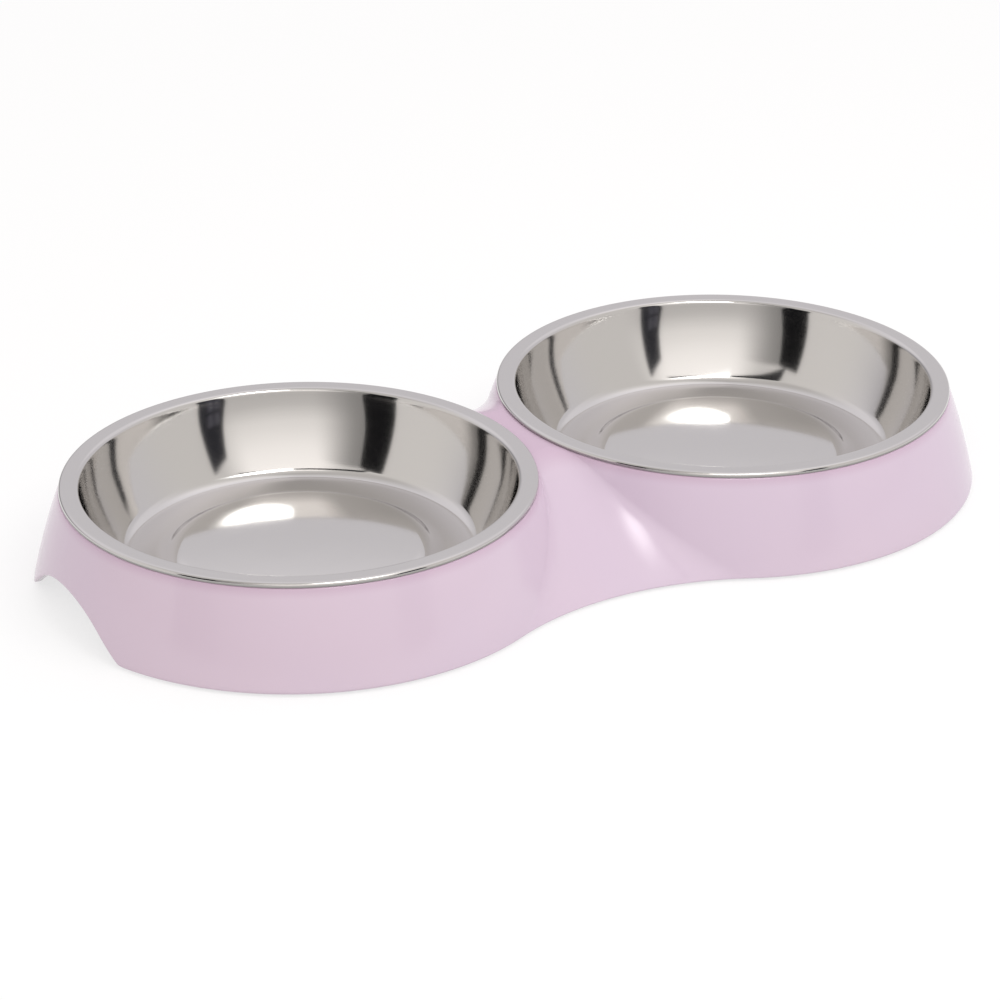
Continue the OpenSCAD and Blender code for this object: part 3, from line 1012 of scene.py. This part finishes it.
def seat_rings(x):
    """Rings round one seat hole, from the deck's top face to its underside."""
    above, below = [], []
    for k in range(SEAT_EDGE_STEPS + 1):
        a = math.pi / 2 * k / SEAT_EDGE_STEPS
        radius = SEAT_R + SEAT_EDGE_R * (1 - math.sin(a))
        rounding = SEAT_EDGE_R * (1 - math.cos(a))
        above.append(circle(x, radius, DECK_Z - rounding))
        below.append(circle(x, radius, DECK_Z - DECK_T + rounding))
    return [circle(x, SEAT_R + FLAT_MARGIN, DECK_Z)] + above + list(reversed(below))


def flat_ring(inset, z):
    """The deck's outline, moved inwards."""
    quarter = outer_row(0, inset)
    quarter[:, 2] = z
    return all_round(quarter)


print(f"seat holes of radius {SEAT_R / MM:.1f} mm")

# %% Join the rings to one closed mesh
def add_ring(shape, points):
    return [shape.verts.new(p) for p in points]


def join_rings(shape, first, second):
    """Four-sided faces between two rings of as many points."""
    n = len(first)
    for i in range(n):
        shape.faces.new((first[i], first[(i + 1) % n], second[(i + 1) % n], second[i]))


def ring_edges(ring):
    return [e for a, b in zip(ring, ring[1:] + ring[:1]) for e in a.link_edges if b in e.verts]


def stand_mesh():
    """The whole moulding as one closed mesh."""
    shape = bmesh.new()
    made = [add_ring(shape, flat_ring(TOP_EDGE_R + FLAT_MARGIN, DECK_Z))]
    made += [add_ring(shape, ring) for ring in rings]
    made.append(add_ring(shape, flat_ring(SKIRT_T, DECK_Z - DECK_T)))
    for first, second in zip(made, made[1:]):
        join_rings(shape, first, second)
    tops, bottoms = [made[0]], [made[-1]]
    for x in (-BOWL_X, BOWL_X):
        hole = [add_ring(shape, ring) for ring in seat_rings(x)]
        for first, second in zip(hole, hole[1:]):
            join_rings(shape, first, second)
        tops.append(hole[0])
        bottoms.append(hole[-1])
    for group, normal in ((tops, (0, 0, 1)), (bottoms, (0, 0, -1))):
        edges = [e for ring in group for e in ring_edges(ring)]
        bmesh.ops.triangle_fill(shape, use_beauty=True, edges=edges, normal=normal)
    bmesh.ops.recalc_face_normals(shape, faces=shape.faces)
    mesh = bpy.data.meshes.new("moulded_stand")
    shape.to_mesh(mesh)
    open_edges = sum(1 for e in shape.edges if not e.is_manifold)
    shape.free()
    print("open edges in the stand:", open_edges)
    return mesh


# %% Place the stand
stand = bpy.data.objects.new("moulded_stand", stand_mesh())
bpy.context.scene.collection.objects.link(stand)
stand.data.shade_smooth()
stand.data.materials.append(melamine)
face_outwards(stand)
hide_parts("base_shell")
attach(stand, "stand")

# %% [markdown]
# ## The rubber feet
# Six small discs of matt rubber sit under the skirt. The photograph doesn't show them, so they are a guess
# at how such a stand keeps from sliding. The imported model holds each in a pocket, which is left out here.
# They are the same part six times over, so one foot is turned from a section by the tree above and then
# placed on a point for each of the frame's feet. The instances are made real at the end, because an
# exported model can't hold instances.

# %% Dark matt rubber
RUBBER_DARK = (0.028, 0.028, 0.030, 1)
RUBBER_WORN = (0.050, 0.050, 0.052, 1)
GRAIN_SCALE = 1800
GRAIN_DEPTH = 0.02 * MM
GRAIN_STRENGTH = 0.7
WORN_SCALE = 160
WORN_EDGES = (0.4, 0.7)
RUBBER_ROUGH = 0.72
WORN_ROUGH = 0.15


def rubber_finish():
    """Matt rubber with a fine moulded grain."""
    material, start = new_material("dark_rubber")
    point = start.node("ShaderNodeTexCoord", out="Object")
    grain = start.node("ShaderNodeTexNoise", sockets={"Vector": point, "Scale": GRAIN_SCALE, "Detail": 3})
    patches = start.node("ShaderNodeTexNoise", sockets={"Vector": point, "Scale": WORN_SCALE, "Detail": 2})
    colour = start.node(
        "ShaderNodeMix",
        {"data_type": "RGBA"},
        {"Factor_Float": smooth_step(patches, *WORN_EDGES), "A_Color": RUBBER_DARK, "B_Color": RUBBER_WORN},
        out="Result_Color",
    )
    bump = start.node(
        "ShaderNodeBump",
        sockets={"Strength": GRAIN_STRENGTH, "Distance": GRAIN_DEPTH, "Height": grain},
    )
    pad = start.node(
        "ShaderNodeBsdfPrincipled",
        sockets={"Base Color": colour, "Roughness": RUBBER_ROUGH + patches * WORN_ROUGH, "Normal": bump},
    )
    start.node("ShaderNodeOutputMaterial", sockets={"Surface": pad})
    return material


# %% Six feet from one
FOOT_NODES = [f"foot_{row}_{spot}" for row in ("front", "back") for spot in ("left", "middle", "right")]
FOOT_CHAMFER = 0.3 * MM
FOOT_SOFTEN = 0.02 * MM
FOOT_BLEND = 0.1 * MM
FOOT_ROUND = 0.15 * MM
FOOT_STEPS = 40


def feet_tree():
    """A turned foot on each point."""
    inputs = [("Section", "NodeSocketObject"), ("Steps", "NodeSocketInt"), ("Finish", "NodeSocketMaterial")]
    tree, start, given = new_tree("feet_on_points", inputs)
    profile = start.node("GeometryNodeObjectInfo", sockets={"Object": given["Section"]}, out="Geometry")
    turned = start.node(
        "GeometryNodeGroup",
        {"node_tree": TURN},
        {"Geometry": profile, "Steps": given["Steps"], "Merge": TURN_MERGE},
    )
    spots = {"Points": given["Geometry"], "Instance": turned}
    placed = start.node("GeometryNodeInstanceOnPoints", sockets=spots)
    real = start.node("GeometryNodeRealizeInstances", sockets={0: placed})
    done = start.node("GeometryNodeSetMaterial", sockets={"Geometry": real, "Material": given["Finish"]})
    start.node("NodeGroupOutput", sockets={0: done})
    return tree


foot_boxes = [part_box(name) for name in FOOT_NODES]
foot_spots = [((low.x + high.x) / 2, (low.y + high.y) / 2, low.z) for low, high in foot_boxes]
foot_r = (foot_boxes[0][1].x - foot_boxes[0][0].x) / 2
foot_t = foot_boxes[0][1].z - foot_boxes[0][0].z
foot_section = [(0, 0), (foot_r - FOOT_CHAMFER - FOOT_BLEND, 0), (foot_r - FOOT_CHAMFER, FOOT_SOFTEN)]
foot_section += [(foot_r - FOOT_SOFTEN, FOOT_CHAMFER), (foot_r, FOOT_CHAMFER + FOOT_BLEND)]
foot_section += [(foot_r, foot_t - FOOT_ROUND), (foot_r - FOOT_ROUND, foot_t), (0, foot_t)]
foot_line = points_object("foot_section", [(x, 0, z) for x, z in foot_section])
foot_points = points_object("foot_points", foot_spots, joined=False)
values = {"Section": foot_line, "Steps": FOOT_STEPS, "Finish": rubber_finish()}

feet = bake_tree(foot_points, feet_tree(), values, "rubber_feet")
bpy.data.objects.remove(foot_line)
bpy.data.objects.remove(foot_points)
face_outwards(feet)
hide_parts(*FOOT_NODES)
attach(feet, "stand")

# %% [markdown]
# ## Last measures
# The size of the dressed model's box is printed at the end. The dressed model has to stay inside the
# box of the imported one.

# %% Print the dressed model's size
low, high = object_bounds()
print("dressed model", [round(v / MM, 2) for v in high - low], "mm")
